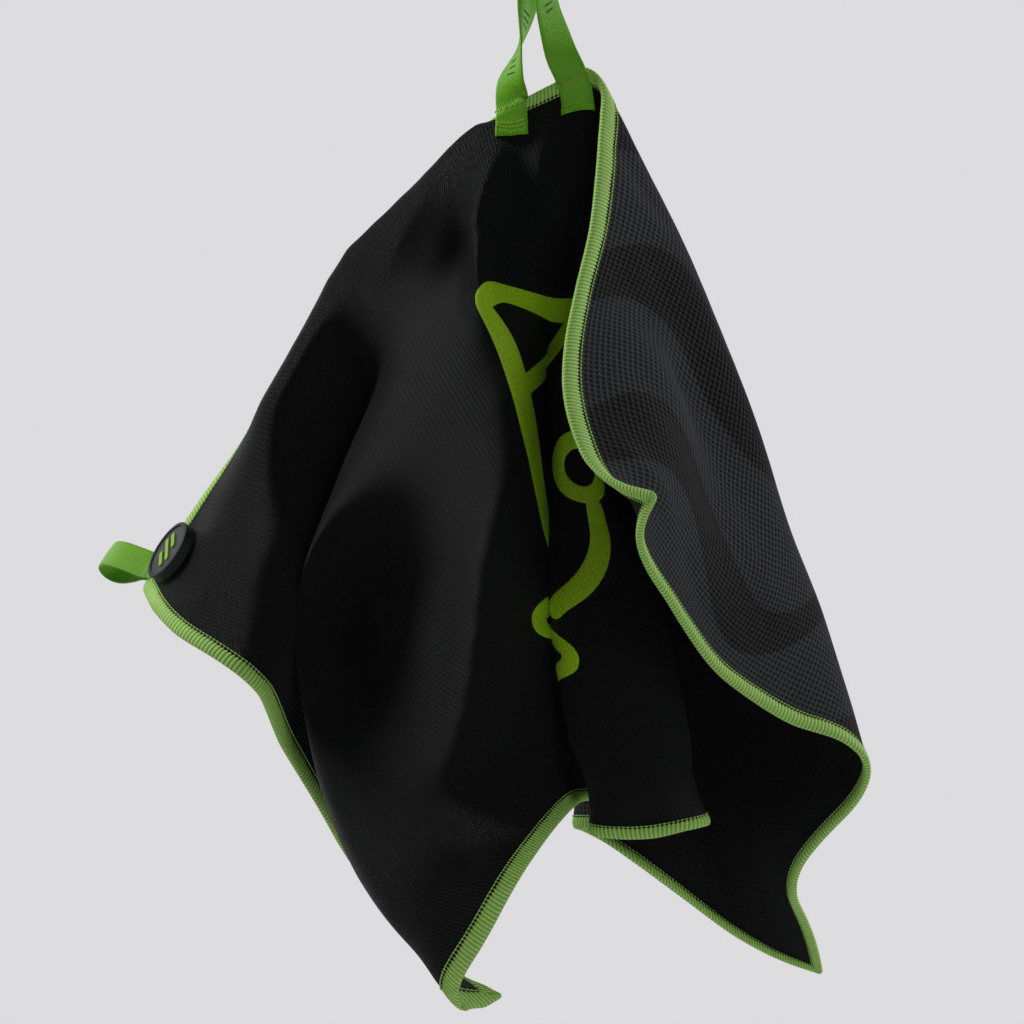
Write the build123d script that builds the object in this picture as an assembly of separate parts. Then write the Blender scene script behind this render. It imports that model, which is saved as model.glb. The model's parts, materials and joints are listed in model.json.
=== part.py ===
"""Golf towel hung from its strap: cloth, overlocked edging, strap, pull tab and magnetic badge.

Millimetres, +Z up. The origin is the axis of the hook that the strap's bight goes over.
X runs to the right across the towel's printed face, which looks along -Y, and Y runs to the back.
A place on the cut cloth is (u, v): u across the long top edge, 0 at its middle, and v down from it.
"""
from build123d import *
import math
import os

import numpy as np

# ---- driving dimensions ------------------------------------------------------------------
CLOTH_WIDTH = 600.0
CLOTH_DROP = 400.0
CLOTH_THICK = 1.4
EDGING_WIDTH = 6.0
EDGING_THICK = 3.6
SKIN_GAP = 0.4

WEBBING_WIDTH = 16.0
WEBBING_THICK = 1.4
HOOK_R = 4.0
HOOK_AXIS_DEG = 50.0
STRAP_SPREAD = 32.0
STRAP_TAB_LENGTH = 15.0
STRAP_STANDOFF = 3.0
SEAM_GAP = 0.6

FLAP_GAP = 5.5
FLAP_ROOT_U = 20.0
FLAP_END_V = 220.0

BADGE_R = 15.5
BADGE_THICK = 5.4
BADGE_U = 25.0
BADGE_V = 18.0
MAGNET_R = 10.0
MAGNET_THICK = 2.0
KEEPER_THICK = 0.8
RIVET_R = 2.0

PULL_LENGTH = 29.0
PULL_HEIGHT = 14.0

# The cloth's frame: its seam middle stands a little to the right of the hook's axis.
CLOTH_SHIFT = Vector(3.3, 0, 0)

# Corner with the badge: flat there, the edges leaving along these directions.
CORNER = Vector(-195, 34, -314)
CORNER_ALONG = Vector(0.55, 0, 0.835)
CORNER_DOWN = Vector(0.22, -0.92, -0.32)

# ---- the hung shape: lines on the cloth and where each lies in space: (u, v, x, y, z) ------
EDGE_LINES = {
    "top": [
        (-300, 0, -195, 34, -314), (-255, 0, -170, 34, -276), (-200, 0, -138, 34, -232),
        (-150, 0, -112, 26, -190), (-118, 0, -94, 18, -161), (-70, 0, -59, 10, -126),
        (-30, 0, -27, 2, -92), (-16, 0, -16, 0, -81), (0, 0, -2, 0, -74), (16, 0, 12, 0, -67),
        (25, 0, 21, -1, -63), (36, 0, 27, -7, -71), (60, 0, 27, -20, -91), (90, 0, 25, -36, -117),
        (120, 0, 22, -51, -142), (155, 0, 15, -68, -172), (185, 0, 10, -84, -197),
        (210, 0, 9, -97, -218), (235, 0, 13, -108, -238), (258, 0, 22, -118, -256),
        (280, 0, 37, -127, -265), (300, 0, 52, -132, -269),
    ],
    "left": [
        (-300, 0, -195, 34, -314), (-300, 36, -187, 1, -326), (-300, 56, -176, -16, -336),
        (-300, 78, -159, -28, -346), (-300, 93, -146, -33, -355), (-300, 106, -138, -26, -363),
        (-300, 126, -133, -10, -374), (-300, 149, -128, 8, -388), (-300, 173, -120, 26, -403),
        (-300, 201, -108, 40, -424), (-300, 225, -99, 54, -441), (-300, 244, -90, 66, -455),
        (-300, 261, -80, 72, -466), (-300, 277, -66, 66, -472), (-300, 298, -56, 48, -476),
        (-300, 321, -58, 26, -482), (-300, 341, -56, 8, -490), (-300, 366, -42, -4, -502),
        (-300, 400, -20, 8, -511),
    ],
    "bottom": [
        (-300, 400, -20, 8, -511), (-275, 400, -39, -10, -517), (-263, 400, -43, -22, -509),
        (-228, 400, -28, -34, -479), (-194, 400, -12, -40, -450), (-160, 400, 0, -34, -433),
        (-132, 400, 11, -14, -421), (-108, 400, 20, 8, -416), (-64, 400, 52, 2, -421),
        (-40, 400, 38, -12, -426), (-20, 400, 22, -27, -431), (10, 400, 48, -36, -433),
        (35, 400, 72, -30, -428), (44, 400, 79, -20, -427), (60, 400, 72, -4, -427),
        (90, 400, 46, 20, -429), (122, 400, 18, 42, -431), (132, 400, 14, 50, -431),
        (142, 400, 20, 58, -433), (165, 400, 42, 66, -447), (200, 400, 70, 82, -468),
        (232, 400, 94, 94, -486), (268, 400, 118, 104, -499), (300, 400, 138, 112, -506),
    ],
    "right": [
        (300, 0, 52, -132, -269), (300, 14, 47, -122, -279), (300, 30, 44, -112, -290),
        (300, 48, 48, -100, -303), (300, 68, 57, -88, -317), (300, 92, 67, -74, -333),
        (300, 122, 82, -56, -353), (300, 146, 97, -40, -365), (300, 174, 118, -22, -378),
        (300, 208, 147, -4, -389), (300, 222, 156, 6, -398), (300, 238, 155, 16, -410),
        (300, 255, 149, 28, -421), (300, 282, 135, 44, -437), (300, 306, 124, 58, -454),
        (300, 324, 123, 70, -466), (300, 345, 129, 84, -479), (300, 364, 134, 96, -491),
        (300, 400, 138, 112, -506),
    ],
}
FOLD_LINES = {
    "shoulder_roll": [(-200, 20, -137, 2, -225), (-150, 20, -110, 0, -177), (-122, 16, -98, 2, -154),
                      (-90, 16, -77, 0, -133), (-60, 16, -54, -1, -111), (-32, 14, -32, -2, -90)],
    "outer_panel": [(-245, 66, -136, -14, -298), (-215, 60, -120, 2, -266), (-180, 60, -103, 8, -226)],
    "hidden_valley": [(-160, 70, -86, 10, -218), (-200, 135, -90, 28, -282), (-240, 200, -94, 34, -364),
                      (-270, 265, -88, 40, -422), (-290, 340, -64, 14, -476)],
    "long_crease": [(-122, 16, -98, 2, -154), (-118, 58, -74, -10, -184), (-150, 135, -94, -10, -248),
                    (-172, 180, -110, -10, -285), (-188, 225, -120, -10, -327),
                    (-203, 258, -117, -12, -362), (-215, 290, -111, -14, -395),
                    (-250, 335, -89, -16, -453), (-280, 395, -45, -20, -507)],
    "flap_fold": [(42, 17, 39, -3, -93), (97, 61, 70, -4, -156), (134, 90, 88, -2, -199),
                  (170, 118, 104, 0, -242), (207, 147, 118, 2, -286), (240, 173, 133, 4, -325),
                  (267, 194, 142, 5, -358), (293, 215, 152, 6, -390)],
    "rear_layer": [(75, 90, 44, 26, -165), (120, 160, 58, 52, -245), (170, 200, 76, 60, -306),
                   (200, 290, 80, 82, -386), (215, 340, 78, 86, -430)],
    "pleat_right": [(20, 40, 17, -2, -107), (32, 120, 20, -8, -180), (42, 200, 27, -13, -258),
                    (48, 245, 45, -17, -297), (50, 290, 60, -19, -341), (48, 340, 69, -21, -386)],
    "pleat_crown": [(20, 235, 22, -20, -290), (20, 290, 33, -30, -342), (14, 345, 41, -34, -388)],
    "pleat_left": [(-8, 150, 2, -3, -210), (-8, 200, 0, 2, -256), (-8, 250, 0, -4, -300),
                   (-9, 295, 5, -12, -343), (-12, 345, 12, -23, -387)],
    "groove": [(-15, 90, 2, 2, -155), (-20, 160, 1, 8, -218), (-28, 220, 2, 8, -272),
               (-36, 280, 13, 8, -327), (-50, 340, 35, 6, -376)],
    "groove_lip": [(-30, 130, -3, -2, -190), (-38, 170, -2, -6, -225), (-48, 220, -2, -12, -266),
                   (-60, 270, 0, -8, -306), (-85, 340, 9, 2, -366)],
    "pleat_back": [(56, 120, 18, 14, -178), (80, 200, 14, 20, -250), (105, 290, 25, 26, -335),
                   (118, 340, 22, 34, -380)],
    "broad_ridge": [(-70, 60, -38, -10, -150), (-85, 130, -42, -22, -205), (-95, 200, -40, -32, -270),
                    (-105, 270, -38, -38, -330), (-150, 345, -42, -36, -410)],
    "strap_ridge": [(-18, 20, -18, -6, -100), (-24, 60, -24, -16, -130), (-26, 100, -18, -14, -165)],
    "hollow": [(-130, 230, -80, 0, -315), (-140, 270, -80, 4, -350)],
    "front_flap": [(250, 30, 52, -88, -262), (200, 60, 66, -52, -232), (150, 40, 48, -36, -182),
                   (240, 110, 98, -34, -306)],
}
EDGE_STEP = 14.0
FOLD_STEP = 18.0
CLOSEST_KEYS = 7.0
SURFACE_EASE = 2e-3
SKIN_TOLERANCE = 0.3
SKIN_SMOOTHING = (1.0, 0.2, 0.05)


def run_along(line, step):
    """Points every step along a smooth curve through the line's own points."""
    points = np.array(line, float)
    lengths = np.linalg.norm(np.diff(points[:, 2:], axis=0), axis=1)
    at = np.r_[0, np.cumsum(lengths)]
    slope = np.gradient(points, at, axis=0)
    want = np.linspace(0, at[-1], max(2, int(round(at[-1] / step)) + 1))
    i = np.clip(np.searchsorted(at, want, side="right") - 1, 0, len(at) - 2)
    span = (at[i + 1] - at[i])[:, None]
    s = (want[:, None] - at[i][:, None]) / span
    start = (2 * s**3 - 3 * s**2 + 1) * points[i] + (s**3 - 2 * s**2 + s) * span * slope[i]
    end = (-2 * s**3 + 3 * s**2) * points[i + 1] + (s**3 - s**2) * span * slope[i + 1]
    return start + end


def badge_corner():
    """The flat stretch of cloth that the badge is clamped to."""
    flat = []
    for along in (8, 25, 42):
        for down in (8, 20, 34):
            spot = CORNER + CORNER_ALONG * along + CORNER_DOWN * down
            flat.append((along - 300, down, spot.X, spot.Y, spot.Z))
    return np.array(flat)


def shape_keys():
    """All the points that fix the hung shape, none closer on the cloth than CLOSEST_KEYS."""
    runs = [run_along(line, EDGE_STEP) for line in EDGE_LINES.values()] + [badge_corner()]
    runs += [run_along(line, FOLD_STEP) for line in FOLD_LINES.values()]
    kept = []
    for key in np.vstack(runs):
        if all(math.dist(key[:2], other[:2]) > CLOSEST_KEYS for other in kept):
            kept.append(key)
    return np.array(kept)


def bending(a, b):
    """Thin-plate bending term between two sets of places on the cloth."""
    square = ((a[:, None] - b[None]) ** 2).sum(-1) / 1e4
    return 0.5 * square * np.log(square + 1e-12)


def thin_plate(keys):
    """The smooth sheet through the keys: returns a function from places (u, v) to points."""
    places = keys[:, :2]
    count = len(places)
    plane = np.c_[np.ones(count), places / 100]
    system = np.zeros((count + 3, count + 3))
    system[:count, :count] = bending(places, places) + SURFACE_EASE * np.eye(count)
    system[:count, count:] = plane
    system[count:, :count] = plane.T
    weights = np.linalg.solve(system, np.r_[keys[:, 2:], np.zeros((3, 3))])
    shift = np.array(tuple(CLOTH_SHIFT))

    def points(at):
        tilt = np.c_[np.ones(len(at)), at / 100] @ weights[count:]
        return bending(at, places) @ weights[:count] + tilt + shift

    return points


hung_point = thin_plate(shape_keys())


def hung_frame(at):
    """Middle points and printed-face normals of the cloth at places (u, v)."""
    at = np.asarray(at, float).reshape(-1, 2)
    near = 1.0
    across = hung_point(at + (near, 0)) - hung_point(at - (near, 0))
    down = hung_point(at + (0, near)) - hung_point(at - (0, near))
    normal = np.cross(down, across)
    return hung_point(at), normal / np.linalg.norm(normal, axis=1)[:, None]


def sheet_solid(middle, normal, thick):
    """Closed thin solid about a grid of middle points, thick measured along the normals."""
    skins = []
    for side in (0.5, -0.5):
        grid = middle + normal * (side * thick)
        rows = [[Vector(*point) for point in row] for row in grid]
        skins.append(Face.make_surface_from_array_of_points(rows, tol=SKIN_TOLERANCE,
                                                            smoothing=SKIN_SMOOTHING, max_deg=5))
    front, back = skins
    walls = []
    for edge in front.edges():
        partner = min(back.edges(), key=lambda other: (other.center() - edge.center()).length)
        walls.append(Face.make_surface_from_curves(edge, partner))
    return Solid(Shell([front, back] + walls))


def cloth_solid(patch, across, down, thick, offset=0.0):
    """Thin solid of the cloth patch that patch(s, t) gives in (u, v), for s and t from 0 to 1."""
    places = [patch(s, t) for s in np.linspace(0, 1, across) for t in np.linspace(0, 1, down)]
    middle, normal = hung_frame(places)
    middle = (middle + normal * offset).reshape(across, down, 3)
    return sheet_solid(middle, normal.reshape(across, down, 3), thick)


def between(low, high, share):
    return low + (high - low) * share


def fold_v(u):
    """Where the flap's fold line crosses the cloth at u."""
    return max(0.0, (u - FLAP_ROOT_U) * FLAP_END_V / (CLOTH_WIDTH / 2 - FLAP_ROOT_U))


HALF = CLOTH_WIDTH / 2
INSET = EDGING_WIDTH + SKIN_GAP


def main_patch(s, t):
    u = between(-HALF + INSET, HALF - INSET, s)
    top = max(INSET, fold_v(u) + FLAP_GAP)
    return u, between(top, CLOTH_DROP - INSET, t)


def flap_patch(s, t):
    u = between(FLAP_ROOT_U + 24, HALF - INSET, s)
    return u, between(INSET, fold_v(u) - FLAP_GAP, t)


def edge_patch(u_low, u_high, v_low, v_high):
    return lambda s, t: (between(u_low, u_high, s), between(v_low, v_high, t))


parts = {}


# ---- badge -------------------------------------------------------------------------------
def badge_plane(outward):
    """Plane parallel to the badge's face, outward millimetres from the middle of the cloth."""
    centre, normal = hung_frame([(BADGE_U - HALF, BADGE_V)])
    centre, normal = Vector(*centre[0]), Vector(*normal[0])
    along = CORNER_ALONG - normal * CORNER_ALONG.dot(normal)
    return Plane(origin=centre + normal * outward, x_dir=along, z_dir=normal)


def disc(radius, low, high):
    return badge_plane(low) * Cylinder(radius, high - low, align=(Align.CENTER, Align.CENTER, Align.MIN))


BADGE_BACK = CLOTH_THICK / 2 + SKIN_GAP
BADGE_RIM_BACK = EDGING_THICK / 2 + SKIN_GAP
BADGE_FRONT = BADGE_RIM_BACK + BADGE_THICK
FOOT_R = 11.5
RECESS_R = BADGE_R - 2.0
RECESS_DEPTH = 1.2
FACE_THICK = 0.7
CAP_R = 12.0
CAP_THICK = 1.6

housing = fillet(disc(BADGE_R, BADGE_RIM_BACK, BADGE_FRONT).edges(), 0.5)
housing += disc(FOOT_R, BADGE_BACK, BADGE_RIM_BACK + 0.5)
housing -= disc(RECESS_R, BADGE_FRONT - RECESS_DEPTH, BADGE_FRONT + 1)
housing -= disc(MAGNET_R + 0.15, BADGE_BACK - 1, BADGE_BACK + MAGNET_THICK + KEEPER_THICK + 0.2)
parts["badge_housing"] = housing
FACE_BACK = BADGE_FRONT - RECESS_DEPTH
parts["badge_face"] = disc(RECESS_R - 0.1, FACE_BACK, FACE_BACK + FACE_THICK)
parts["badge_keeper"] = (disc(MAGNET_R, BADGE_BACK + 0.02, BADGE_BACK + KEEPER_THICK)
                         - disc(RIVET_R + 0.05, -4, BADGE_BACK + 3))
magnet_back = BADGE_BACK + KEEPER_THICK + 0.02
parts["badge_magnet"] = (disc(MAGNET_R, magnet_back, magnet_back + MAGNET_THICK)
                         - disc(RIVET_R + 0.05, magnet_back - 1, magnet_back + MAGNET_THICK + 1))
parts["badge_rivet"] = disc(RIVET_R, -BADGE_BACK - CAP_THICK * 0.6, magnet_back + MAGNET_THICK)
cap = disc(CAP_R, -BADGE_BACK - CAP_THICK, -BADGE_BACK)
cap = fillet(cap.edges().sort_by(lambda edge: -badge_plane(0).to_local_coords(edge.center()).Z)[-1], 0.8)
parts["badge_back_cap"] = cap - disc(RIVET_R + 0.02, -BADGE_BACK - CAP_THICK * 0.6, 1)


def emblem_bar(offset, length):
    """One slanted bar of the plain three-bar mark."""
    face_top = BADGE_FRONT - RECESS_DEPTH + FACE_THICK
    bar = extrude(SlotOverall(length, 2.4), 0.7)
    return badge_plane(face_top) * (Pos(offset, 0, 0) * Rot(0, 0, 62) * bar)


parts["badge_emblem"] = Compound([emblem_bar(offset, length) for offset, length in
                                  ((-5.4, 11), (0, 17), (5.4, 11))])

# ---- cloth and its overlocked edging --------------------------------------------------------
cloth = cloth_solid(main_patch, 49, 31, CLOTH_THICK)
parts["towel_cloth"] = cloth - disc(RIVET_R + 0.2, -8, 8)
parts["front_flap_cloth"] = cloth_solid(flap_patch, 37, 21, CLOTH_THICK)

low, far = INSET - SKIN_GAP, CLOTH_DROP - INSET + SKIN_GAP
EDGING = {
    "edging_top": (edge_patch(-HALF, FLAP_ROOT_U, 0, low), 33, 4),
    "edging_left": (edge_patch(-HALF, low - HALF, INSET, far - SKIN_GAP), 4, 41),
    "edging_bottom": (edge_patch(-HALF, HALF, far, CLOTH_DROP), 81, 4),
    "edging_right": (edge_patch(HALF - low, HALF, FLAP_END_V + FLAP_GAP, far - SKIN_GAP), 4, 21),
    "flap_edging_top": (edge_patch(FLAP_ROOT_U + 8, HALF, 0, low), 33, 4),
    "flap_edging_side": (edge_patch(HALF - low, HALF, INSET, FLAP_END_V - FLAP_GAP), 4, 25),
}
for name, (patch, across, down) in EDGING.items():
    parts[name] = cloth_solid(patch, across, down, EDGING_THICK)


# ---- hanging strap ---------------------------------------------------------------------------
def seam_point(side):
    """Middle of the strap's seam on one side: -1 left, 1 right."""
    middle, normal = hung_frame([(side * STRAP_SPREAD / 2, 0)])
    return Vector(*(middle[0] + normal[0] * STRAP_STANDOFF))


SEAM_LEFT, SEAM_RIGHT = seam_point(-1), seam_point(1)
SEAM_AXIS = (SEAM_RIGHT - SEAM_LEFT).normalized()
HOOK_AXIS = Vector(math.cos(math.radians(HOOK_AXIS_DEG)), math.sin(math.radians(HOOK_AXIS_DEG)), 0)
BIGHT_R = HOOK_R + WEBBING_THICK / 2
OUT_LEFT = Vector(0, 0, 1).cross(HOOK_AXIS)


def strand_solid(side, route, turns):
    """One twisted strand, from the bight down to its seam; turns are the strap's edge directions."""
    stations = np.linspace(0, 1, 25)
    centre = np.array([tuple(route @ s) for s in stations])
    tangent = np.gradient(centre, axis=0)
    tangent /= np.linalg.norm(tangent, axis=1)[:, None]
    turn = np.radians(np.interp(stations, [share for share, _ in turns], [turn for _, turn in turns]))
    start = np.array(tuple(HOOK_AXIS))
    end = np.array(tuple(SEAM_AXIS)) * -side
    edge = []
    for angle, along in zip(turn, tangent):
        flat = np.array([math.cos(angle), math.sin(angle), 0.0])
        flat -= along * flat.dot(along)
        edge.append(flat / np.linalg.norm(flat))
    edge = np.array(edge)
    edge[0], edge[-1] = start if edge[0].dot(start) > 0 else -start, end if edge[-1].dot(end) > 0 else -end
    across = np.linspace(-0.5, 0.5, 5) * WEBBING_WIDTH
    middle = centre[:, None] + across[None, :, None] * edge[:, None]
    normal = np.cross(tangent, edge)
    normal /= np.linalg.norm(normal, axis=1)[:, None]
    return sheet_solid(middle, np.repeat(normal[:, None], 5, axis=1), WEBBING_THICK)


def strand_route(side, seam, knees):
    top = OUT_LEFT * (BIGHT_R * -side)
    up = (Vector(0, 0, 1) - SEAM_AXIS * SEAM_AXIS.Z).normalized()
    foot = seam + up * SEAM_GAP
    return Spline(top, *[Vector(*knee) for knee in knees], foot, tangents=(Vector(0, 0, -1), -up))


LEFT_KNEES = [(-5.0, 1.5, -30), (-7.6, 0, -47), (-11.2, -2, -62)]
RIGHT_KNEES = [(4.1, -3.5, -30), (8.4, -3.5, -47), (12.0, -3.2, -58)]
LEFT_TURNS = [(0, 230), (0.35, 230), (0.57, 262), (0.78, 296), (0.92, 330), (1, 356)]
RIGHT_TURNS = [(0, 50), (0.4, 48), (0.65, 28), (0.85, 6), (1, 0)]

ring = Cylinder(HOOK_R + WEBBING_THICK, WEBBING_WIDTH) - Cylinder(HOOK_R, WEBBING_WIDTH + 2)
ring -= Pos(0, -20, 0) * Box(40, 40, WEBBING_WIDTH + 4)
bight = Plane(origin=(0, 0, 0), x_dir=OUT_LEFT, z_dir=HOOK_AXIS) * ring
if bight.center().Z < 0:
    bight = bight.rotate(Axis((0, 0, 0), tuple(HOOK_AXIS)), 180)
left_strand = strand_solid(-1, strand_route(-1, SEAM_LEFT, LEFT_KNEES), LEFT_TURNS)
right_strand = strand_solid(1, strand_route(1, SEAM_RIGHT, RIGHT_KNEES), RIGHT_TURNS)
parts["strap_bight"] = bight
parts["strap_left_strand"] = left_strand
parts["strap_right_strand"] = right_strand

for side, name in ((-1, "strap_left_tab"), (1, "strap_right_tab")):
    middle_u = side * STRAP_SPREAD / 2
    tab = edge_patch(middle_u - WEBBING_WIDTH / 2, middle_u + WEBBING_WIDTH / 2, 0, STRAP_TAB_LENGTH)
    parts[name] = cloth_solid(tab, 7, 7, WEBBING_THICK, STRAP_STANDOFF)


def stitch_row(u_low, u_high, v, count, standoff, length):
    """A row of short thread stitches lying along u."""
    stitches = []
    for u in np.linspace(u_low, u_high, count):
        middle, normal = hung_frame([(u, v)])
        ahead = hung_point(np.array([(u + 1.0, v)]))[0] - middle[0]
        origin = middle[0] + normal[0] * standoff
        plane = Plane(origin=tuple(origin), x_dir=tuple(ahead), z_dir=tuple(normal[0]))
        stitches.append(plane * Box(length, 0.5, 0.4))
    return stitches


THREAD_STANDOFF = STRAP_STANDOFF + WEBBING_THICK / 2 + 0.25
for name, v in (("strap_seam_thread", 1.2), ("strap_hem_thread", STRAP_TAB_LENGTH - 1.0)):
    rows = []
    for side in (-1, 1):
        middle_u = side * STRAP_SPREAD / 2
        rows += stitch_row(middle_u - 6.8, middle_u + 6.8, v, 8, THREAD_STANDOFF, 1.4)
    parts[name] = Compound(rows)

# ---- pull tab ----------------------------------------------------------------------------------
PULL_ALONG = Vector(-0.765, 0.64, 0.077).normalized()
PULL_EDGE = Vector(0.48, 0.487, 0.73)
PULL_EDGE = (PULL_EDGE - PULL_ALONG * PULL_EDGE.dot(PULL_ALONG)).normalized()
PULL_ROOT = CORNER + CORNER_ALONG * 12 + CLOTH_SHIFT + PULL_ALONG * 4.4


def teardrop(root, radius):
    """Outline tangent to a round end of the given radius and meeting at the root."""
    return make_hull((Pos(PULL_LENGTH - PULL_HEIGHT / 2, 0) * Circle(radius)).edges() + root.edges())


outer = teardrop(Pos(0.8, 0) * Rectangle(1.6, 2 * WEBBING_THICK + 0.4), PULL_HEIGHT / 2)
inner = teardrop(Pos(3.4, 0) * Rectangle(0.6, 0.4), PULL_HEIGHT / 2 - WEBBING_THICK)
loop = extrude(outer - inner, WEBBING_WIDTH / 2, both=True)
pull_plane = Plane(origin=tuple(PULL_ROOT), x_dir=tuple(PULL_ALONG), z_dir=tuple(PULL_EDGE))
parts["pull_tab"] = pull_plane * loop
stitch = Box(0.5, 0.4, 1.4)
parts["pull_tab_thread"] = Compound([pull_plane * (Pos(0.8, side * (WEBBING_THICK + 0.45), along) * stitch)
                                     for side in (-1, 1) for along in np.linspace(-6.6, 6.6, 7)])

os.makedirs("parts", exist_ok=True)
for name, shape in parts.items():
    export_step(shape, os.path.join("parts", name + ".step"))
    print(name, round(sum(solid.volume for solid in shape.solids())), "mm3")
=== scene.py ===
# %% [markdown]
# # A golf towel hung from its strap
# The towel is one sheet of microfibre, 600 by 400 mm, hung from a loop of webbing near the middle of
# a long edge. Its edges are overlocked with a bright thread. One corner carries a round magnetic
# badge and a pull tab. Everything sewn to a cloth follows the cloth, so the lesson first makes the
# hung shape as a function, and then draws each piece flat and lays it on that shape.

import json
import math

import bpy
import numpy as np
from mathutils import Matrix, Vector


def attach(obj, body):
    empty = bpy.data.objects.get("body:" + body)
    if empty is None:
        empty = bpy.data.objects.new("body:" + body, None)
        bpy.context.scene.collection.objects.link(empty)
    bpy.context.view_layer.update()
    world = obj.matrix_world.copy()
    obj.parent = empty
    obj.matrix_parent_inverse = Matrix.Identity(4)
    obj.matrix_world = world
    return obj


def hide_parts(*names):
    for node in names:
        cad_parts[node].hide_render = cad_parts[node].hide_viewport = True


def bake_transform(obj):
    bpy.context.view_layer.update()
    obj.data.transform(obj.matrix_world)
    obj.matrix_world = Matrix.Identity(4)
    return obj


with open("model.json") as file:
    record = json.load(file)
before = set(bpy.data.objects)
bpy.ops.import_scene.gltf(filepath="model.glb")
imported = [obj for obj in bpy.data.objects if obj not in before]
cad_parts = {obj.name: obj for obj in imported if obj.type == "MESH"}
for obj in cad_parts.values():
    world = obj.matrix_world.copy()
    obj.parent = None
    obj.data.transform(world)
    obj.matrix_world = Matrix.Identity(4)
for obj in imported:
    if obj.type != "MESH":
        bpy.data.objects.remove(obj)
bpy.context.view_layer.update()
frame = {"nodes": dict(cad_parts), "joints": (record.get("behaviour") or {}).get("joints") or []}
MM = 0.001

# %% [markdown]
# ## Sizes
# These are the sizes a maker would write on the cutting sheet, in millimetres. A place on the flat
# cloth is (u, v): u runs across the long top edge with 0 at its middle, and v runs down from it.

# %% The cutting sheet
CLOTH_WIDTH, CLOTH_DROP, CLOTH_THICK = 600.0, 400.0, 1.8
HALF = CLOTH_WIDTH / 2
EDGING_WIDTH = 6.2
STRAP_SPREAD, STRAP_TAB_LENGTH = 32.0, 16.5
FLAP_ROOT_U, FLAP_END_V = 20.0, 220.0
CLOTH_SHIFT = np.array([3.3, 0, 0])

# %% [markdown]
# ## The hung shape
# A hung cloth is a smooth surface held by a few folds. It could be simulated, but a simulation finds
# its own folds and not these ones. Here each fold and each edge is a line of places on the cloth with
# the point in space where that place hangs, and a thin-plate spline bends one smooth sheet through
# all of them, as a thin steel sheet would bend through pins.

# %% Lines of the edges and folds: (u, v, x, y, z)
EDGE_LINES = {
    "top": [
        (-300, 0, -195, 34, -314), (-255, 0, -170, 34, -276), (-200, 0, -138, 34, -232),
        (-150, 0, -112, 26, -190), (-118, 0, -94, 18, -161), (-70, 0, -59, 10, -126),
        (-30, 0, -27, 2, -92), (-16, 0, -16, 0, -81), (0, 0, -2, 0, -74), (16, 0, 12, 0, -67),
        (25, 0, 21, -1, -63), (36, 0, 27, -7, -71), (60, 0, 27, -20, -91), (90, 0, 25, -36, -117),
        (120, 0, 22, -51, -142), (155, 0, 15, -68, -172), (185, 0, 10, -84, -197),
        (210, 0, 9, -97, -218), (235, 0, 13, -108, -238), (258, 0, 22, -118, -256),
        (280, 0, 37, -127, -265), (300, 0, 52, -132, -269),
    ],
    "left": [
        (-300, 0, -195, 34, -314), (-300, 36, -187, 1, -326), (-300, 56, -176, -16, -336),
        (-300, 78, -159, -28, -346), (-300, 93, -146, -33, -355), (-300, 106, -138, -26, -363),
        (-300, 126, -133, -10, -374), (-300, 149, -128, 8, -388), (-300, 173, -120, 26, -403),
        (-300, 201, -108, 40, -424), (-300, 225, -99, 54, -441), (-300, 244, -90, 66, -455),
        (-300, 261, -80, 72, -466), (-300, 277, -66, 66, -472), (-300, 298, -56, 48, -476),
        (-300, 321, -58, 26, -482), (-300, 341, -56, 8, -490), (-300, 366, -42, -4, -502),
        (-300, 400, -20, 8, -511),
    ],
    "bottom": [
        (-300, 400, -20, 8, -511), (-275, 400, -39, -10, -517), (-263, 400, -43, -22, -509),
        (-228, 400, -28, -34, -479), (-194, 400, -12, -40, -450), (-160, 400, 0, -34, -433),
        (-132, 400, 11, -14, -421), (-108, 400, 20, 8, -416), (-64, 400, 52, 2, -421),
        (-40, 400, 38, -12, -426), (-20, 400, 22, -27, -431), (10, 400, 48, -36, -433),
        (35, 400, 72, -30, -428), (44, 400, 79, -20, -427), (60, 400, 72, -4, -427),
        (90, 400, 46, 20, -429), (122, 400, 18, 42, -431), (132, 400, 14, 50, -431),
        (142, 400, 20, 58, -433), (165, 400, 42, 66, -447), (200, 400, 70, 82, -468),
        (232, 400, 94, 94, -486), (268, 400, 118, 104, -499), (300, 400, 138, 112, -506),
    ],
    "right": [
        (300, 0, 52, -132, -269), (300, 14, 47, -122, -279), (300, 30, 44, -112, -290),
        (300, 48, 48, -100, -303), (300, 68, 57, -88, -317), (300, 92, 67, -74, -333),
        (300, 122, 82, -56, -353), (300, 146, 97, -40, -365), (300, 174, 118, -22, -378),
        (300, 208, 147, -4, -389), (300, 222, 156, 6, -398), (300, 238, 155, 16, -410),
        (300, 255, 149, 28, -421), (300, 282, 135, 44, -437), (300, 306, 124, 58, -454),
        (300, 324, 123, 70, -466), (300, 345, 129, 84, -479), (300, 364, 134, 96, -491),
        (300, 400, 138, 112, -506),
    ],
}
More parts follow.
